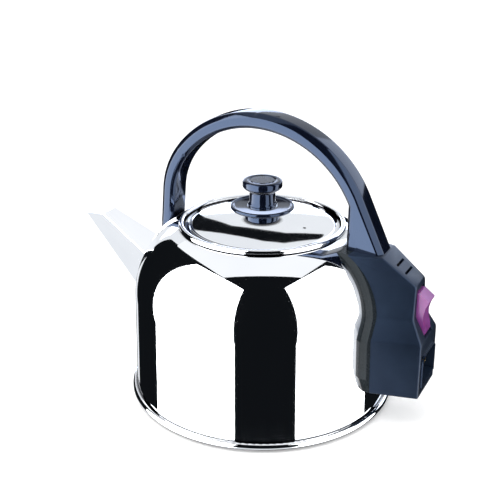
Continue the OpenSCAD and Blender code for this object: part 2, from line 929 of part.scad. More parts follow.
// moulded thermal control carrying the inlet terminals
module control_block() {
  color([0.88, 0.86, 0.8])
  difference() {
    translate([block_x0 + 1.7, -16, head_z - 13]) cube([block_x1 - block_x0 - 1.7, 32, 28]);
    inlet_pin_holes(fit);
    for (a = [90, 210, 330]) {
      translate([block_x0 + 1, clamp_circle * cos(a), head_z + clamp_circle * sin(a)])
        rotate([0, 90, 0]) cylinder(d = 6.6, h = 1.6, $fn = 32);
    }
  }
}

module dry_boil_disc() {
  color([0.72, 0.6, 0.42])
  translate([block_x0 - 4, 0, head_z]) rotate([0, 90, 0]) cylinder(r = 7.2, h = 0.8, $fn = 64);
}

// two insulated wires from the control block up to the switch
module leads() {
  color([0.45, 0.25, 0.12])
  for (s = [-1, 1]) {
    translate([102.6, s * 5.5, head_z + 15]) cylinder(d = 2.4, h = rocker_z + 4 - head_z - 15, $fn = 32);
  }
}

// ---------- lid ----------

module lid_plate() {
  color([0.86, 0.87, 0.89])
  difference() {
    rotate_extrude()
      union() {
        // shallow dome on a flat rim
        intersection() {
          difference() {
            translate([0, mouth_z + 2 - 600]) circle(600, $fn = 360);
            translate([0, mouth_z + 2 - 600]) circle(599, $fn = 360);
          }
          translate([0, 100]) square([lid_r - 4, 60]);
        }
        translate([lid_r - 4.2, mouth_z - 2.3]) square([4.2, 1]);
        translate([lid_r - 4.8, mouth_z - 2.3]) square([1, 2.1]);
      }
    cylinder(d = 5.2, h = 300, $fn = 48);
    // steam relief hole
    translate([34, 0, 0]) cylinder(d = 2.5, h = 300, $fn = 32);
  }
}

module lid_skirt() {
  color([0.76, 0.77, 0.79])
  rotate_extrude()
    difference() {
      union() {
        translate([lid_r - 2.4, mouth_z - 2.3 - skirt_depth]) square([1, skirt_depth]);
        translate([lid_r - 2.0, mouth_z - 2.3 - skirt_depth]) circle(0.9, $fn = 32);
      }
      translate([lid_r - 1.1, 0]) square([10, 300]);
    }
}

knob_seat = mouth_z + 2;

module knob_foot() {
  color([0.05, 0.05, 0.07])
  difference() {
    rotate_extrude()
      polygon([
        [0, knob_seat], [11.5, knob_seat], [13, knob_seat + 1.4], [13, knob_seat + 5.2],
        [12, knob_seat + 7.8], [0, knob_seat + 7.8]
      ]);
    cylinder(d = 5.2, h = 300, $fn = 48);
    // hollow underside keeps the stem cool
    translate([0, 0, knob_seat - 1])
      difference() {
        cylinder(r = 10, h = 5, $fn = 64);
        cylinder(r = 4.6, h = 6, $fn = 48);
      }
  }
}

module knob_flange() {
  z = knob_seat + 7.8;
  color([0.06, 0.06, 0.09])
  difference() {
    rotate_extrude()
      polygon([
        [0, z], [18, z], [knob_flange_r - 1, z + 1.2], [knob_flange_r, z + 2.6],
        [knob_flange_r - 0.6, z + 4], [knob_flange_r - 2.2, z + 4.2], [knob_flange_r - 3.4, z + 3],
        [11.2, z + 2.4], [0, z + 2.4]
      ]);
    cylinder(d = 5.2, h = 300, $fn = 48);
  }
}

module knob_body() {
  z = knob_seat + 10.2;
  t = knob_top;
  color([0.05, 0.05, 0.08])
  difference() {
    rotate_extrude()
      polygon([
        [0, z], [10.8, z], [10.8, z + 2.8], [9.8, z + 4],
        [9.4, t - 9], [10.6, t - 7.6], [knob_head_r - 1.6, t - 6.8],
        [knob_head_r, t - 5], [knob_head_r, t - 1.2], [knob_head_r - 1.2, t],
        [10.4, t], [9.8, t - 1], [8.8, t - 1], [8.8, t - 2.6], [0, t - 2.6]
      ]);
    cylinder(d = 4.3, h = t - 5, $fn = 48);
  }
}

// inset disc covering the knob screw
module knob_cap() {
  color([0.1, 0.1, 0.13])
  translate([0, 0, knob_top - 2.6]) cylinder(r = 8.75, h = 2.5, $fn = 96);
}

// screw up through lid and knob
module knob_screw() {
  color([0.7, 0.7, 0.72])
  difference() {
    union() {
      translate([0, 0, mouth_z - 2.6]) cylinder(d = 8, h = 2.7, $fn = 48);
      translate([0, 0, mouth_z - 1]) cylinder(d = 4.24, h = 26, $fn = 48);
    }
    translate([0, 0, mouth_z - 2.6]) cube([1.2, 6, 2], center = true);
  }
}

// washer between the screw head and the lid
module lid_washer() {
  color([0.72, 0.72, 0.74])
  difference() {
    translate([0, 0, mouth_z + 0.1]) cylinder(d = 12, h = 0.85, $fn = 48);
    cylinder(d = 4.4, h = 300, $fn = 32);
  }
}

body_shell();
base_plate();
base_rim();
mouth_ring();
spout_trough();
spout_plate();
front_bracket();
handle();
bracket_stud();
handle_screw();
housing_flange();
housing_shell();
housing_floor();
housing_screws();
inlet_shroud();
inlet_insulator();
pin_line();
pin_neutral();
pin_earth();
rocker();
rocker_pin();
switch_frame();
switch_contacts();
neon_lamp();
trip_lever();
lever_pin();
push_rod();
steam_bimetal();
steam_grommet();
element_tube();
element_head();
element_gasket();
clamp_plate();
clamp_screws();
control_block();
dry_boil_disc();
leads();
lid_plate();
lid_skirt();
knob_foot();
knob_flange();
knob_body();
knob_cap();
knob_screw();
lid_washer();
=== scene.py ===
import math

import bmesh
import bpy
from mathutils import Matrix, Vector


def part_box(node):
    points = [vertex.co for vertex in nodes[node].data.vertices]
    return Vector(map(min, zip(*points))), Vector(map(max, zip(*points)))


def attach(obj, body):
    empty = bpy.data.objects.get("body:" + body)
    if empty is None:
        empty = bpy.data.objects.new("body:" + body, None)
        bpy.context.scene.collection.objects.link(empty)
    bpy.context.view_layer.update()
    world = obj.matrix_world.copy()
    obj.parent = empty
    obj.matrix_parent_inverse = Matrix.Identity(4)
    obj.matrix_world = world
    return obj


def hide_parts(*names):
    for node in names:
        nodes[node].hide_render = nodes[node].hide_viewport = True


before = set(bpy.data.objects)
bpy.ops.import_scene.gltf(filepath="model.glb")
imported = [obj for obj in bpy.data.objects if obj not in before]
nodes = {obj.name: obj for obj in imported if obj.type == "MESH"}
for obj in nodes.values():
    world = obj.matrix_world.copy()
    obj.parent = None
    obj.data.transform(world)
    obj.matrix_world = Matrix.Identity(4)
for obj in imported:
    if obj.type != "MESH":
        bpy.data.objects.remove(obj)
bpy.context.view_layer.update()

MM = 0.001
ROUND_STEPS = 288

# view of the kettle, from the middle of its base
VIEW_TURN = math.radians(27)
VIEW_DOWN = math.radians(19.1)
VIEW_DISTANCE = 0.626
VIEW_HEIGHT = 0.366
VIEW_SIDESTEP = 0.0091
VIEW_LENS = 65.1
VIEW_SHIFT = -0.1015

# light panels that only mirrors and gloss see: strengths, distances and rises in degrees
LEFT_STRENGTH = 7.0
RIGHT_STRENGTH = 3.5
CEILING_STRENGTH = 1.05
BACK_STRENGTH = 0.92
LOW_STRENGTH = 4.2
SIDE_STRENGTH = 2.2
GROUND_STRENGTH = 0.95
ROOM_DARK = 0.01
NEAR_PANEL = 2.0
FAR_PANEL = 20.0
SWEEP_DISTANCE = 34.0
BAR_DISTANCE = 16.0
PANEL_RISE = 59.5
CEILING_HEIGHT = 2.4
CEILING_NEAR_RISE = 75
CEILING_SIDE_RISE = 63.5
GROUND_DEPTH = 20.0
GROUND_REACH = 31.3

# light that everything else sees
SKY_STRENGTH = 1.12
KEY_TURN, KEY_RISE, KEY_DISTANCE = -40, 62, 1.9
KEY_SIZE = 1.2
KEY_POWER = 14
FLOOR_GLOW = 0.25

# body outline, as built
RIM_TOP = 6.4 * MM
WALL_R = 96.5 * MM
SHOULDER_R = 95.3 * MM
SHOULDER_Z = 78 * MM
DOME_ARC = 56.4 * MM
DOME_TOP_R = 59.4 * MM
SHEET = 1.0 * MM
DOME_C = SHOULDER_R - DOME_ARC
STRAINER_LOW = 60 * MM
STRAINER_UP = 7.6 * MM
STRAINER_ACROSS = 6.6 * MM
STRAINER_R = 2 * MM
STEAM_PORT_R = 4.5 * MM
HEAD_HOLE_R = 14 * MM
LID_Z = 134 * MM
LID_VENT_X = 34 * MM
LID_VENT_R = 1.25 * MM
# how far off a nearby surface still adds painted shade to the steel's colour
CREASE_SHADE_REACH = 5 * MM

# handle bar
BAR_W = 22 * MM
BAR_T = 11.5 * MM
BAR_CHAMFER = 2.7 * MM
BAR_OUTER_CHAMFER = 3.8 * MM
DECK_Z = 126.35 * MM
LEAN = math.radians(4.5)
ARC_B_C, ARC_B_R = (-1.5 * MM, 131.5 * MM), 84 * MM
ARC_A_R = 65 * MM
ARC_A_TOP = math.radians(142)
ARC_C_R = 90 * MM
ARC_C_LOW = math.radians(24.4)
DECK_IN_X = 69.5 * MM
FOOT_STEP, FOOT_STEPS = 2.5 * MM, 12
SADDLE_GAP = 1.62 * MM

# housing
TAPER = math.radians(13)
FRONT_X = 98 * MM
HOUSING_WALL = 2.5 * MM
HOUSING_TOP_X = 98
HOUSING_TOP_Z = 126.3
HOUSING_INNER_X = 58 * MM
HOUSING_RIDGE = (122.3, 108)
HOUSING_BEVEL = 1.3 * MM
BODY_GAP = 5.05 * MM
WINDOW_HALF, WINDOW_LOW, WINDOW_HIGH = 7.6 * MM, 69.6 * MM, 104.2 * MM
VENT_HALF_SIZE = (0.9 * MM, 7 * MM, 8 * MM)


# ---------- small helpers ----------

def lerp(a, b, t):
    return a + (b - a) * t


def new_material(name):
    """Empty node material with one shader, returned with its tree and shader."""
    material = bpy.data.materials.new(name)
    material.use_nodes = True
    tree = material.node_tree
    tree.nodes.clear()
    output = tree.nodes.new("ShaderNodeOutputMaterial")
    shader = tree.nodes.new("ShaderNodeBsdfPrincipled")
    tree.links.new(shader.outputs["BSDF"], output.inputs["Surface"])
    return material, tree, shader


def noise(tree, scale, detail=3.0, stretch=(1, 1, 1)):
    """Noise fixed to the object's own space."""
    coords = tree.nodes.new("ShaderNodeTexCoord")
    mapping = tree.nodes.new("ShaderNodeMapping")
    mapping.inputs["Scale"].default_value = stretch
    texture = tree.nodes.new("ShaderNodeTexNoise")
    texture.inputs["Scale"].default_value = scale
    texture.inputs["Detail"].default_value = detail
    tree.links.new(coords.outputs["Object"], mapping.inputs["Vector"])
    tree.links.new(mapping.outputs["Vector"], texture.inputs["Vector"])
    return texture


def ramp(tree, source, low, high, start=0.3, end=0.7):
    """Runs the source between two colours."""
    node = tree.nodes.new("ShaderNodeValToRGB")
    node.color_ramp.elements[0].position = start
    node.color_ramp.elements[0].color = (*low, 1)
    node.color_ramp.elements[1].position = end
    node.color_ramp.elements[1].color = (*high, 1)
    tree.links.new(source, node.inputs["Fac"])
    return node.outputs["Color"]


def spread(tree, source, low, high):
    """Maps the source from 0..1 to low..high."""
    node = tree.nodes.new("ShaderNodeMapRange")
    node.inputs["To Min"].default_value = low
    node.inputs["To Max"].default_value = high
    tree.links.new(source, node.inputs["Value"])
    return node.outputs["Result"]


def add_bump(tree, shader, source, strength, depth):
    bump = tree.nodes.new("ShaderNodeBump")
    bump.inputs["Strength"].default_value = strength
    bump.inputs["Distance"].default_value = depth
    tree.links.new(source, bump.inputs["Height"])
    tree.links.new(bump.outputs["Normal"], shader.inputs["Normal"])


def paint_crease_shade(tree, colour, reach):
    """Painted shade: dulls the colour where another surface stands close, as in creases and seams."""
    near = tree.nodes.new("ShaderNodeAmbientOcclusion")
    near.samples = 8
    near.inputs["Distance"].default_value = reach
    shade = ramp(tree, near.outputs["AO"], (0.015, 0.015, 0.02), (1, 1, 1), 0.56, 0.8)
    mix = tree.nodes.new("ShaderNodeMixRGB")
    mix.blend_type = "MULTIPLY"
    mix.inputs["Fac"].default_value = 1.0
    tree.links.new(colour, mix.inputs["Color1"])
    tree.links.new(shade, mix.inputs["Color2"])
    return mix.outputs["Color"]


# ---------- materials ----------

def steel(name, dark, light, rough_low, rough_high, bump_depth):
    """Stainless steel with faint polishing marks that run round the kettle, and painted shade in its
    creases and seams.
    """
    material, tree, shader = new_material(name)
    shader.inputs["Metallic"].default_value = 1.0
    cloud = noise(tree, 18, 2)
    # base colour darkened by painted shade where other surfaces stand close
    colour = paint_crease_shade(tree, ramp(tree, cloud.outputs["Fac"], dark, light), CREASE_SHADE_REACH)
    tree.links.new(colour, shader.inputs["Base Color"])
    marks = noise(tree, 220, 4, (0.15, 0.15, 3.0))
    rough = spread(tree, marks.outputs["Fac"], rough_low, rough_high)
    tree.links.new(rough, shader.inputs["Roughness"])
    add_bump(tree, shader, marks.outputs["Fac"], 0.12, bump_depth)
    return material


def plastic(
        name, dark, light, rough_low, rough_high, grain, bump_depth, tint=(1, 1, 1), level=0.5):
    """Moulded plastic: a grained skin with slightly uneven colour and gloss."""
    material, tree, shader = new_material(name)
    cloud = noise(tree, 40, 3)
    tree.links.new(ramp(tree, cloud.outputs["Fac"], dark, light), shader.inputs["Base Color"])
    skin = noise(tree, grain, 4)
    rough = spread(tree, skin.outputs["Fac"], rough_low, rough_high)
    tree.links.new(rough, shader.inputs["Roughness"])
    shader.inputs["Specular Tint"].default_value = (*tint, 1)
    shader.inputs["Specular IOR Level"].default_value = level
    add_bump(tree, shader, skin.outputs["Fac"], 0.3, bump_depth)
    return material


def tinted_lens(name, dark, light):
    """Coloured see-through plastic, dyed deeper in places."""
    material, tree, shader = new_material(name)
    cloud = noise(tree, 60, 2)
    tree.links.new(ramp(tree, cloud.outputs["Fac"], dark, light), shader.inputs["Base Color"])
    rough = spread(tree, noise(tree, 500, 3).outputs["Fac"], 0.16, 0.3)
    tree.links.new(rough, shader.inputs["Roughness"])
    shader.inputs["Transmission Weight"].default_value = 0.12
    shader.inputs["Specular IOR Level"].default_value = 0.25
    shader.inputs["Subsurface Weight"].default_value = 0.25
    shader.inputs["Subsurface Scale"].default_value = 0.002
    return material


def metal(name, dark, light, rough_low, rough_high):
    """Plain plated metal of small inner parts."""
    material, tree, shader = new_material(name)
    shader.inputs["Metallic"].default_value = 1.0
    cloud = noise(tree, 90, 3)
    tree.links.new(ramp(tree, cloud.outputs["Fac"], dark, light), shader.inputs["Base Color"])
    rough = spread(tree, noise(tree, 700, 3).outputs["Fac"], rough_low, rough_high)
    tree.links.new(rough, shader.inputs["Roughness"])
    return material


def make_materials():
    """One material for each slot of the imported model."""
    blue_gloss = (0.45, 0.62, 1.0)
    white_gloss = (1, 1, 1)
    return {
        "polished_steel": steel(
            "polished_steel", (0.9, 0.91, 0.93), (0.96, 0.97, 0.98), 0.015, 0.05, 0.00002),
        "satin_steel": steel(
            "satin_steel", (0.62, 0.63, 0.65), (0.74, 0.75, 0.77), 0.22, 0.36, 0.0001),
        "fastener_steel": metal("fastener_steel", (0.5, 0.5, 0.52), (0.68, 0.68, 0.7), 0.25, 0.4),
        "handle_phenolic": plastic(
            "handle_phenolic", (0.002, 0.003, 0.008), (0.004, 0.006, 0.014),
            0.06, 0.11, 500, 0.00002, blue_gloss, 0.6),
        "housing_plastic": plastic(
            "housing_plastic", (0.005, 0.009, 0.018), (0.009, 0.016, 0.03),
            0.26, 0.36, 2200, 0.0001, blue_gloss, 0.35),
        "flange_plastic": plastic(
            "flange_plastic", (0.008, 0.012, 0.015), (0.016, 0.021, 0.025),
            0.22, 0.32, 1800, 0.0001, white_gloss, 0.08),
        "switch_plastic": plastic(
            "switch_plastic", (0.02, 0.02, 0.024), (0.035, 0.035, 0.04), 0.35, 0.5, 1500, 0.0001),
        "rocker_plastic": tinted_lens("rocker_plastic", (0.2, 0.045, 0.21), (0.3, 0.09, 0.31)),
        "lamp": tinted_lens("lamp", (0.7, 0.25, 0.12), (0.85, 0.4, 0.2)),
        "contact_brass": metal("contact_brass", (0.6, 0.42, 0.18), (0.75, 0.55, 0.26), 0.2, 0.35),
        "control_plastic": plastic(
            "control_plastic", (0.35, 0.33, 0.28), (0.45, 0.43, 0.38), 0.4, 0.55, 900, 0.0001),
        "bimetal": metal("bimetal", (0.5, 0.4, 0.25), (0.65, 0.53, 0.36), 0.25, 0.4),
        "rubber": plastic("rubber", (0.02, 0.02, 0.02), (0.04, 0.04, 0.04), 0.6, 0.8, 900, 0.0002),
        "element_sheath": metal("element_sheath", (0.45, 0.42, 0.4), (0.6, 0.57, 0.54), 0.3, 0.45),
        "lead_insulation": plastic(
            "lead_insulation", (0.3, 0.12, 0.06), (0.4, 0.18, 0.1), 0.4, 0.55, 700, 0.0001),
    }


def dress(obj, material):
    obj.data.materials.clear()
    obj.data.materials.append(material)


def dress_cad_nodes(materials):
    """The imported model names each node's material by its slot."""
    for name, obj in nodes.items():
        slot = obj.data.materials[0].name.split(".")[0]
        dress(obj, materials[slot])


# ---------- mesh helpers ----------

def link_mesh(name, mesh, material, smooth_deg=35):
    obj = bpy.data.objects.new(name, mesh)
    bpy.context.scene.collection.objects.link(obj)
    mesh.materials.append(material)
    mesh.shade_smooth()
    mesh.set_sharp_from_angle(angle=math.radians(smooth_deg))
    return obj


def mesh_from_bmesh(name, bm):
    mesh = bpy.data.meshes.new(name)
    bmesh.ops.recalc_face_normals(bm, faces=bm.faces)
    bm.to_mesh(mesh)
    bm.free()
    return mesh


def arc(centre, radius, start, end, steps):
    """Points on an arc, angles in radians."""
    points = []
    for i in range(steps + 1):
        a = lerp(start, end, i / steps)
        points.append((centre[0] + radius * math.cos(a), centre[1] + radius * math.sin(a)))
    return points


def soften(outline, radius, steps=5):
    """Rounds the corners of a closed outline by up to the given radius."""
    points = []
    count = len(outline)
    for i, corner in enumerate(outline):
        here = Vector(corner)
        back = Vector(outline[i - 1]) - here
        ahead = Vector(outline[(i + 1) % count]) - here
        reach = min(radius, back.length * 0.45, ahead.length * 0.45)
        p = here + back.normalized() * reach
        q = here + ahead.normalized() * reach
        for k in range(steps + 1):
            t = k / steps
            points.append(tuple(p * (1 - t) ** 2 + here * 2 * t * (1 - t) + q * t ** 2))
    return points


def turn_outline(outline, segments):
    """Solid of revolution of a closed outline of (radius, height)."""
    bm = bmesh.new()
    rings = []
    for i in range(segments):
        a = 2 * math.pi * i / segments
        rings.append([bm.verts.new((r * math.cos(a), r * math.sin(a), z)) for r, z in outline])
    count = len(outline)
    for i in range(segments):
        here, after = rings[i], rings[(i + 1) % segments]
        for k in range(count):
            bm.faces.new((here[k], after[k], after[(k + 1) % count], here[(k + 1) % count]))
    bmesh.ops.remove_doubles(bm, verts=bm.verts, dist=1e-7)
    return bm


def turned_piece(name, outline, material, body, replaced, segments=128, smooth_deg=35):
    mesh = mesh_from_bmesh(name, turn_outline(outline, segments))
    obj = link_mesh(name, mesh, material, smooth_deg)
    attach(obj, body)
    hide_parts(*replaced)
    return obj


def cut_with(obj, cutters):
    """Cuts the shapes away and keeps the result as the object's own mesh."""
    for cutter in cutters:
        modifier = obj.modifiers.new("cut", "BOOLEAN")
        modifier.operation = "DIFFERENCE"
        modifier.solver = "EXACT"
        modifier.object = cutter
    graph = bpy.context.evaluated_depsgraph_get()
    result = bpy.data.meshes.new_from_object(obj.evaluated_get(graph))
    obj.modifiers.clear()
    obj.data = result
    for cutter in cutters:
        bpy.data.objects.remove(cutter)


def cutter_box(low, high, matrix=None):
    bm = bmesh.new()
    bmesh.ops.create_cube(bm, size=1.0)
    centre = (Vector(low) + Vector(high)) / 2
    size = Vector(high) - Vector(low)
    for vert in bm.verts:
        vert.co = Vector((vert.co.x * size.x, vert.co.y * size.y, vert.co.z * size.z)) + centre
    if matrix is not None:
        bm.transform(matrix)
    return cutter_from(bm)


def cutter_rod(start, axis, length, radius, segments=32):
    bm = bmesh.new()
    bmesh.ops.create_cone(
        bm, cap_ends=True, segments=segments, radius1=radius, radius2=radius, depth=length)
    turn = Vector(axis).to_track_quat("Z", "Y").to_matrix().to_4x4()
    bm.transform(Matrix.Translation(Vector(start) + Vector(axis).normalized() * length / 2) @ turn)
    return cutter_from(bm)


def cutter_from(bm):
    obj = bpy.data.objects.new("cutter", mesh_from_bmesh("cutter", bm))
    bpy.context.scene.collection.objects.link(obj)
    return obj


# ---------- body ----------

def dome_height(r, out=0.0):
    """Height of the dome, grown outwards, at a distance from the axis."""
    return SHOULDER_Z + math.sqrt(max((DOME_ARC + out) ** 2 - (r - DOME_C) ** 2, 0.0))


def wall_line(out, steps):
    """Points up the wall and over the dome, moved outwards by out."""
    points = []
    for i in range(steps):
        t = i / steps
        points.append((lerp(WALL_R, SHOULDER_R, t) + out, lerp(RIM_TOP, SHOULDER_Z, t)))
    top = math.acos((DOME_TOP_R - DOME_C) / DOME_ARC)
    points += arc((DOME_C, SHOULDER_Z), DOME_ARC + out, 0, top, steps * 2)
    return points


def kettle_body(material):
    """Spun wall and dome, with the strainer holes, the steam port and the element's hole."""
    outline = wall_line(0, 36) + list(reversed(wall_line(-SHEET, 36)))
    mesh = mesh_from_bmesh("kettle_body", turn_outline(outline, ROUND_STEPS))
    obj = link_mesh("kettle_body", mesh, material, 50)
    holes = []
    for row in range(4):
        count = min(row, 2) + 1
        for i in range(count):
            y = (i - (count - 1) / 2) * STRAINER_ACROSS
            z = STRAINER_LOW + row * STRAINER_UP
            holes.append(cutter_rod((-85 * MM, y, z), (-1, 0, 0), 20 * MM, STRAINER_R))
    port_low, port_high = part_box("steam_grommet")
    port_z = (port_low.z + port_high.z) / 2
    holes.append(cutter_rod((60 * MM, 0, port_z), (1, 0, 0), 40 * MM, STEAM_PORT_R))
    head_low, head_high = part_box("element_head")
    head_z = (head_low.z + head_high.z) / 2
    holes.append(cutter_rod((80 * MM, 0, head_z), (1, 0, 0), 30 * MM, HEAD_HOLE_R, 64))
    cut_with(obj, holes)
    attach(obj, "kettle")
    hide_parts("body_shell")


def mouth_ring(material):
    """Rolled bead, its collar and the ledge that the lid sits on."""
    mouth = 58.2 * MM
    bead_c, bead_z, bead_r = 59.8 * MM, 131.6 * MM, 2.1 * MM
    ledge_top, ledge_low = bead_z - 2.6 * MM, bead_z - 3.6 * MM
    collar_r = mouth + 1.14 * MM
    collar_top, collar_low = bead_z - 1.3 * MM, bead_z - 9 * MM
    start = math.radians(-38)
    outline = arc((bead_c, bead_z), bead_r, start, math.radians(139), 28)
    ledge = 56.7 * MM
    outline += [(mouth, ledge_top), (ledge, ledge_top), (ledge, ledge_low), (mouth, ledge_low)]
    outline += [(mouth, collar_low), (collar_r, collar_low), (collar_r, collar_top)]
    turned_piece(
        "mouth_bead", outline, material, "kettle", ["mouth_ring"], ROUND_STEPS, 40)


def lid_disc(material):
    """Shallow dome, pressed down at its edge to a flat rim."""
    low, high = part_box("lid_plate")
    crown = 600 * MM
    edge, rim, thick = 53.0 * MM, high.x, 1.0 * MM
    hole = 2.6 * MM
    top = []
    for i in range(41):
        r = lerp(hole, edge, i / 40)
        top.append((r, high.z - (crown - math.sqrt(crown * crown - r * r))))
    end_z = top[-1][1]
    step = [(edge + 0.5 * MM, end_z - 0.25 * MM), (edge + 0.9 * MM, end_z - 0.75 * MM)]
    step += [(edge + 1.2 * MM, low.z + thick), (rim - 0.4 * MM, low.z + thick), (rim, low.z + 0.6 * thick)]
    under = [(rim, low.z + 0.2 * thick), (rim - 0.3 * MM, low.z), (edge - 0.3 * MM, low.z)]
    outline = top + step + under + [(r, z - thick) for r, z in reversed(top[:-1])]
    mesh = mesh_from_bmesh("lid_disc", turn_outline(outline, ROUND_STEPS))
    obj = link_mesh("lid_disc", mesh, material, 40)
    cut_with(obj, [cutter_rod((LID_VENT_X, 0, 120 * MM), (0, 0, 1), 30 * MM, LID_VENT_R)])
    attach(obj, "lid")
    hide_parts("lid_plate")


# ---------- handle ----------

def bar_outline():
    """Chamfered section as (depth from the outer face, place across)."""
    half = BAR_W / 2
    side = [
        (0, half - BAR_OUTER_CHAMFER), (BAR_OUTER_CHAMFER, half),
        (BAR_T - BAR_CHAMFER, half), (BAR_T, half - BAR_CHAMFER)]
    return soften(side + [(d, -y) for d, y in reversed(side)], 1.0 * MM, 4)


def handle_path():
    """Outer and inner edge of the bar in the XZ plane, from the front foot to the deck."""
    bx, bz = ARC_B_C
    ax = bx + (ARC_B_R - ARC_A_R) * math.cos(ARC_A_TOP)
    az = bz + (ARC_B_R - ARC_A_R) * math.sin(ARC_A_TOP)
    low = math.pi - LEAN
    stations = []

    def add(centre, radius, start, end, steps):
        for a in (lerp(start, end, i / steps) for i in range(steps + 1)):
            out = Vector((math.cos(a), math.sin(a)))
            stations.append((Vector(centre) + out * radius, Vector(centre) + out * (radius - BAR_T)))

    lean_out = Vector((math.cos(low), math.sin(low)))
    top_out = Vector((ax, az)) + lean_out * ARC_A_R
    top_in = Vector((ax, az)) + lean_out * (ARC_A_R - BAR_T)
    down = Vector((-math.sin(LEAN), -math.cos(LEAN)))
    for i in range(FOOT_STEPS, 0, -1):
        stations.append((top_out + down * i * FOOT_STEP, top_in + down * i * FOOT_STEP))
    add((ax, az), ARC_A_R, low, ARC_A_TOP, 30)
    add(ARC_B_C, ARC_B_R, ARC_A_TOP, math.pi / 2, 40)
    add((bx, bz + ARC_B_R - ARC_C_R), ARC_C_R, math.pi / 2, ARC_C_LOW, 50)
    end_out, end_in = stations[-1]
    deck_out = Vector((end_out.x + (end_out.y - DECK_Z) * math.tan(ARC_C_LOW), DECK_Z))
    deck_in = Vector((DECK_IN_X, DECK_Z))
    for i in range(1, 15):
        stations.append((end_out.lerp(deck_out, i / 14), end_in.lerp(deck_in, i / 14)))
    return stations


def handle_grip(material):
    """Bar with softened chamfers, its front foot shaped to the dome."""
    bm = bmesh.new()
    section = bar_outline()
    rings = []
    for outer, inner in handle_path():
        depth = (inner - outer).length
        ring = []
        for d, y in section:
            share = d / depth if d < BAR_T / 2 else 1 - (BAR_T - d) / depth
            at = outer.lerp(inner, share)
            ring.append(bm.verts.new((at.x, y, at.y)))
        rings.append(ring)
    # run the foot down its slope until it meets the saddle on the dome
    slope = Vector((-math.sin(LEAN), 0, -math.cos(LEAN)))
    for vert in rings[0]:
        for _ in range(12):
            r = math.hypot(vert.co.x, vert.co.y)
            gap = vert.co.z - dome_height(r, SADDLE_GAP)
            vert.co += slope * gap
    count = len(section)
    for here, after in zip(rings, rings[1:]):
        for k in range(count):
            bm.faces.new((here[k], here[(k + 1) % count], after[(k + 1) % count], after[k]))
    bm.faces.new(rings[0])
    bm.faces.new(rings[-1])
    obj = link_mesh("handle_grip", mesh_from_bmesh("handle_grip", bm), material, 40)
    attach(obj, "kettle")
    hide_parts("handle")


# ---------- housing ----------

def housing_levels():
    """(height, rear face x, half width at the front corner) up the housing."""
    ridge_x, ridge_z = HOUSING_RIDGE
    box = [(27.5, 130.5, 26.5), (69, 130.5, 26.5), (84.5, 122.4, 19.6)]
    return box + [(ridge_z, ridge_x, 16.4), (HOUSING_TOP_Z, HOUSING_TOP_X, 13.9)]


def housing_block(inset, levels, bevel):
    """Block through the levels, moved inwards by inset; it runs into the body to be cut there."""
    bm = bmesh.new()
    rings = []
    for z, rear, half in levels:
        rear = rear * MM - inset
        rear_half = half * MM - inset - (rear - FRONT_X) * math.tan(TAPER)
        inner_half = half * MM - inset + (FRONT_X - HOUSING_INNER_X) * math.tan(TAPER)
        corners = [(rear, -rear_half), (rear, rear_half)]
        corners += [(HOUSING_INNER_X, inner_half), (HOUSING_INNER_X, -inner_half)]
        rings.append([bm.verts.new((x, y, z * MM)) for x, y in corners])
    for here, after in zip(rings, rings[1:]):
        for k in range(4):
            bm.faces.new((here[k], here[(k + 1) % 4], after[(k + 1) % 4], after[k]))
    bm.faces.new(rings[0])
    bm.faces.new(rings[-1])
    if bevel:
        seen_x = HOUSING_INNER_X + 1 * MM
        edges = [e for e in bm.edges if min(v.co.x for v in e.verts) > seen_x]
        edges += [e for e in bm.edges if e not in edges and max(v.co.x for v in e.verts) > seen_x]
        bmesh.ops.bevel(bm, geom=edges, offset=bevel, segments=4, profile=0.5, affect="EDGES")
    return bm


def housing_case(material):
    """Moulded case with rounded edges, hollow and open below."""
    levels = housing_levels()
    bm = housing_block(0, levels, HOUSING_BEVEL)
    obj = link_mesh("housing_case", mesh_from_bmesh("housing_case", bm), material, 30)
    hollow = [(20, *levels[0][1:])] + levels[1:-1] + [(HOUSING_TOP_Z - 2.5, HOUSING_TOP_X - 1, 13.9)]
    cavity = cutter_from(housing_block(HOUSING_WALL, hollow, 0))
    below = -10 * MM
    outline = [(0, below)] + [(r, z if z > RIM_TOP else below) for r, z in wall_line(BODY_GAP, 30)]
    outline.append((0, outline[-1][1]))
    body = cutter_from(turn_outline(outline, 256))
    window = cutter_box(
        (110 * MM, -WINDOW_HALF, WINDOW_LOW), (150 * MM, WINDOW_HALF, WINDOW_HIGH))
    shroud_low, shroud_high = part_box("inlet_shroud")
    gap = 0.05 * MM
    inlet = cutter_box(
        (120 * MM, shroud_low.y - gap, shroud_low.z - gap),
        (140 * MM, shroud_high.y + gap, shroud_high.z + gap))
    cutters = [cavity, body, window, inlet]
    top = Vector((HOUSING_TOP_X, 0, HOUSING_TOP_Z)) * MM
    ridge = Vector((HOUSING_RIDGE[0], 0, HOUSING_RIDGE[1])) * MM
    pitch = math.atan2(top.z - ridge.z, ridge.x - top.x)
    # the two vent slots in the slope
    for share in (0.36, 0.62):
        place = Matrix.Translation(top.lerp(ridge, share)) @ Matrix.Rotation(pitch, 4, "Y")
        size = Vector(VENT_HALF_SIZE)
        cutters.append(cutter_box(-size, size, place))
    cut_with(obj, cutters)
    obj.data.shade_smooth()
    obj.data.set_sharp_from_angle(angle=math.radians(30))
    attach(obj, "kettle")
    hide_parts("housing_shell")


# ---------- knob ----------

def knob_outline(corners, seat):
    """Softened outline from (radius, height above the lid) in mm."""
    return soften([(r * MM, seat + z * MM) for r, z in corners], 0.7 * MM)


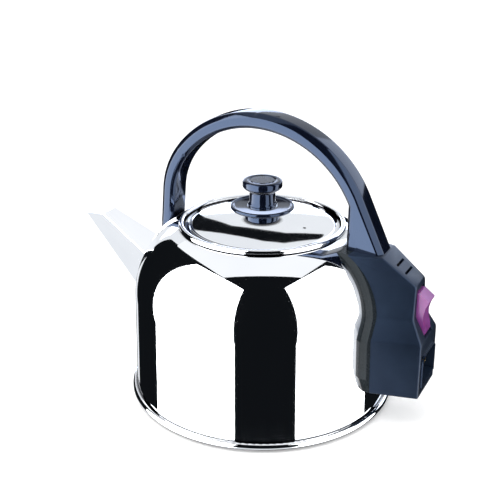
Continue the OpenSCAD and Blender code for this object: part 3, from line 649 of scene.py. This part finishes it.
def make_knob(material):
    """Foot, finger disc, waisted grip and the disc let into its top, all turned."""
    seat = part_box("knob_foot")[0].z
    foot = [(2.6, 0), (11.5, 0), (13, 1.4), (13, 5.2), (12, 7.8), (2.6, 7.8)]
    turned_piece("knob_base", knob_outline(foot, seat), material, "lid", ["knob_foot"])
    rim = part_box("knob_flange")[1].x / MM
    disc = [
        (2.6, 7.8), (18, 7.8), (rim - 1, 9), (rim, 10.4), (rim - 0.6, 11.8), (rim - 2.2, 12),
        (rim - 3.4, 10.8), (11.2, 10.2), (2.6, 10.2)]
    turned_piece("knob_disc", knob_outline(disc, seat), material, "lid", ["knob_flange"])
    top = (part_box("knob_body")[1].z - seat) / MM
    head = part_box("knob_body")[1].x / MM
    waist = [
        (2.15, 10.2), (10.8, 10.2), (10.8, 13), (9.8, 14.2), (9.4, top - 9), (10.6, top - 7.6),
        (head - 1.6, top - 6.8), (head, top - 5), (head, top - 1.2), (head - 1.2, top), (10.4, top),
        (9.8, top - 1), (8.8, top - 1), (8.8, top - 2.6), (2.15, top - 2.6)]
    turned_piece("knob_grip", knob_outline(waist, seat), material, "lid", ["knob_body"])
    cap_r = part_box("knob_cap")[1].x / MM
    cap = [(0, top - 2.6), (cap_r, top - 2.6), (cap_r, top - 0.1), (0, top - 0.1)]
    outline = [(r * MM, seat + z * MM) for r, z in cap]
    turned_piece("knob_disc_cap", outline, material, "lid", ["knob_cap"])
    # the lid shows no reflection of the knob
    for name in ("knob_base", "knob_disc", "knob_grip", "knob_disc_cap"):
        bpy.data.objects[name].visible_glossy = False
    nodes["knob_screw"].visible_glossy = False


# ---------- studio ----------

def glossy_only(obj):
    obj.visible_camera = False
    obj.visible_diffuse = False
    obj.visible_transmission = False
    obj.visible_shadow = False


def glow(name, colour, strength):
    material = bpy.data.materials.new(name)
    material.use_nodes = True
    tree = material.node_tree
    tree.nodes.clear()
    output = tree.nodes.new("ShaderNodeOutputMaterial")
    emission = tree.nodes.new("ShaderNodeEmission")
    emission.inputs["Color"].default_value = (*colour, 1)
    emission.inputs["Strength"].default_value = strength
    tree.links.new(emission.outputs["Emission"], output.inputs["Surface"])
    return material


def toward(turn_deg, rise_deg):
    """Direction turned to the right of the camera's side and raised above the horizon."""
    turn = VIEW_TURN + math.radians(turn_deg) - math.pi / 2
    rise = math.radians(rise_deg)
    return Vector((math.cos(turn) * math.cos(rise), math.sin(turn) * math.cos(rise), math.sin(rise)))


def card(name, corners, material):
    mesh = bpy.data.meshes.new(name)
    mesh.from_pydata(corners, [], [tuple(range(len(corners)))])
    mesh.materials.append(material)
    obj = bpy.data.objects.new(name, mesh)
    bpy.context.scene.collection.objects.link(obj)
    glossy_only(obj)
    return obj


def upright_panel(name, facing_deg, from_deg, to_deg, top_deg, material, bottom=-3.0, distance=NEAR_PANEL):
    """Vertical light panel seen between two turns, with a straight top edge."""
    top = distance * math.tan(math.radians(top_deg))
    corners = []
    for turn, height in ((from_deg, bottom), (to_deg, bottom), (to_deg, top), (from_deg, top)):
        reach = distance / math.cos(math.radians(turn - facing_deg))
        flat = toward(turn, 0) * reach
        corners.append((flat.x, flat.y, height))
    return card(name, corners, material)


def sky_patch(name, outline, distance, material, height=0.0):
    """Patch through directions (turn, rise) seen from the given height, all at one distance."""
    points = [toward(turn, rise) * distance + Vector((0, 0, height)) for turn, rise in outline]
    mesh = bpy.data.meshes.new(name)
    middle = sum(points, Vector()) / len(points)
    count = len(points)
    faces = [(i, (i + 1) % count, count) for i in range(count)]
    mesh.from_pydata([tuple(p) for p in points] + [tuple(middle)], [], faces)
    mesh.materials.append(material)
    obj = bpy.data.objects.new(name, mesh)
    bpy.context.scene.collection.objects.link(obj)
    glossy_only(obj)


def ceiling_panel(material):
    """Horizontal light panel overhead; its near edge stands back from the camera's side."""
    near = CEILING_HEIGHT / math.tan(math.radians(CEILING_NEAR_RISE))
    side = CEILING_HEIGHT / math.tan(math.radians(CEILING_SIDE_RISE))
    back = 3.0
    ahead = toward(0, 0)
    right = toward(90, 0)
    corners = []
    for a, r in ((near, -side), (near, side), (-back, side * 2.2), (-back, -side * 2.2)):
        flat = ahead * a + right * r
        corners.append((flat.x, flat.y, CEILING_HEIGHT))
    return card("ceiling_panel", corners, material)


def floor_card(material):
    """Far light from below for faces that look down, left out behind the right side."""
    corners = [(0, 0, -GROUND_DEPTH)]
    for step in range(19):
        flat = toward(step * 15 - 180, 0) * GROUND_REACH
        corners.append((flat.x, flat.y, -GROUND_DEPTH))
    return card("floor_card", corners, material)


def make_studio():
    """Panels placed by turn and rise in degrees, so that their reflections fall in bands."""
    left_light = glow("left_light", (0.97, 0.985, 1.0), LEFT_STRENGTH)
    right_light = glow("right_light", (0.97, 0.985, 1.0), RIGHT_STRENGTH)
    ceiling_light = glow("ceiling_light", (0.95, 0.97, 1.0), CEILING_STRENGTH)
    back_light = glow("back_light", (0.93, 0.96, 1.0), BACK_STRENGTH)
    low_light = glow("low_light", (0.7, 0.79, 1.0), LOW_STRENGTH)
    side_light = glow("side_light", (0.8, 0.87, 1.0), SIDE_STRENGTH)
    ground_light = glow("ground_light", (0.93, 0.96, 1.0), GROUND_STRENGTH)
    black = glow("black_cloth", (0.5, 0.6, 0.75), ROOM_DARK)
    upright_panel("left_panel", -62, -107, -24, PANEL_RISE, left_light)
    upright_panel("right_panel", 62, 28.5, 103, PANEL_RISE, right_light)
    low_edge = FAR_PANEL * math.tan(math.radians(4))
    join = FAR_PANEL * math.tan(math.radians(17))
    upright_panel("back_panel", -180, -214, -152, 60, back_light, join, FAR_PANEL)
    upright_panel("low_panel", -180, -214, -152, 17, low_light, low_edge, FAR_PANEL)
    upright_panel("side_panel", 130, 114, 146, 60, side_light, 0.35)
    sweep = [(-152, -35), (-150, 15), (-135, 38), (-120, 48), (-105, 57)]
    sweep += [(-105, 70), (-185, 70), (-185, 40), (-158, -35)]
    sky_patch("sweep", sweep, SWEEP_DISTANCE, back_light)
    # black bar that gives the lid its dark band, from its right end to its left
    bar_low = [(-173, 12), (-174, 18), (-177, 23), (-181, 25), (-184, 26), (-189, 25)]
    bar_high = [(-171, 22), (-173, 24), (-177, 27), (-181, 29.5), (-184, 30), (-189, 27)]
    for i in range(5):
        piece = [bar_low[i], bar_low[i + 1], bar_high[i + 1], bar_high[i]]
        sky_patch("bar", piece, BAR_DISTANCE, black, LID_Z)
    ceiling_panel(ceiling_light)
    floor_card(ground_light)


def make_floor():
    """White paper, slightly lit so that it holds no more than a faint shadow."""
    mesh = bpy.data.meshes.new("floor")
    size = 30.0
    corners = [(-size, -size, 0), (size, -size, 0), (size, size, 0), (-size, size, 0)]
    mesh.from_pydata(corners, [], [(0, 1, 2, 3)])
    material, tree, shader = new_material("floor_paper")
    cloud = noise(tree, 3, 2)
    colour = ramp(tree, cloud.outputs["Fac"], (0.86, 0.86, 0.86), (0.88, 0.88, 0.88))
    tree.links.new(colour, shader.inputs["Base Color"])
    shader.inputs["Roughness"].default_value = 1.0
    shader.inputs["Specular IOR Level"].default_value = 0.0
    shader.inputs["Emission Color"].default_value = (1, 1, 1, 1)
    shader.inputs["Emission Strength"].default_value = FLOOR_GLOW
    mesh.materials.append(material)
    floor = bpy.data.objects.new("floor", mesh)
    bpy.context.scene.collection.objects.link(floor)
    floor.visible_glossy = False


def make_world():
    """White sky for sight and soft light; mirrors see a dark room behind the panels."""
    world = bpy.data.worlds.new("studio")
    bpy.context.scene.world = world
    world.use_nodes = True
    tree = world.node_tree
    tree.nodes.clear()
    output = tree.nodes.new("ShaderNodeOutputWorld")
    soft = tree.nodes.new("ShaderNodeBackground")
    soft.inputs["Color"].default_value = (1, 1, 1, 1)
    soft.inputs["Strength"].default_value = SKY_STRENGTH
    dark = tree.nodes.new("ShaderNodeBackground")
    dark.inputs["Color"].default_value = (0.5, 0.6, 0.75, 1)
    dark.inputs["Strength"].default_value = ROOM_DARK
    path = tree.nodes.new("ShaderNodeLightPath")
    mix = tree.nodes.new("ShaderNodeMixShader")
    tree.links.new(path.outputs["Is Glossy Ray"], mix.inputs["Fac"])
    tree.links.new(soft.outputs["Background"], mix.inputs[1])
    tree.links.new(dark.outputs["Background"], mix.inputs[2])
    tree.links.new(mix.outputs["Shader"], output.inputs["Surface"])


def make_key_light():
    light = bpy.data.lights.new("key", "AREA")
    light.shape = "DISK"
    light.size = KEY_SIZE
    light.energy = KEY_POWER
    light.use_shadow = False
    obj = bpy.data.objects.new("key", light)
    bpy.context.scene.collection.objects.link(obj)
    place = toward(KEY_TURN, KEY_RISE) * KEY_DISTANCE
    obj.location = place
    obj.rotation_euler = (Vector((0, 0, 0.08)) - place).to_track_quat("-Z", "Y").to_euler()
    obj.visible_glossy = False


def make_camera():
    data = bpy.data.cameras.new("camera")
    data.lens = VIEW_LENS
    data.sensor_width = 36
    data.shift_y = VIEW_SHIFT
    camera = bpy.data.objects.new("camera", data)
    bpy.context.scene.collection.objects.link(camera)
    right = toward(90, 0)
    place = toward(0, 0) * VIEW_DISTANCE - right * VIEW_SIDESTEP
    camera.location = (place.x, place.y, VIEW_HEIGHT)
    camera.rotation_euler = (math.pi / 2 - VIEW_DOWN, 0, VIEW_TURN)
    bpy.context.scene.camera = camera


make_camera()
make_world()
make_key_light()
make_floor()
make_studio()
bpy.context.scene.view_settings.view_transform = "Standard"

materials = make_materials()
dress_cad_nodes(materials)
kettle_body(materials["polished_steel"])
mouth_ring(materials["polished_steel"])
lid_disc(materials["polished_steel"])
handle_grip(materials["handle_phenolic"])
housing_case(materials["housing_plastic"])
make_knob(materials["handle_phenolic"])
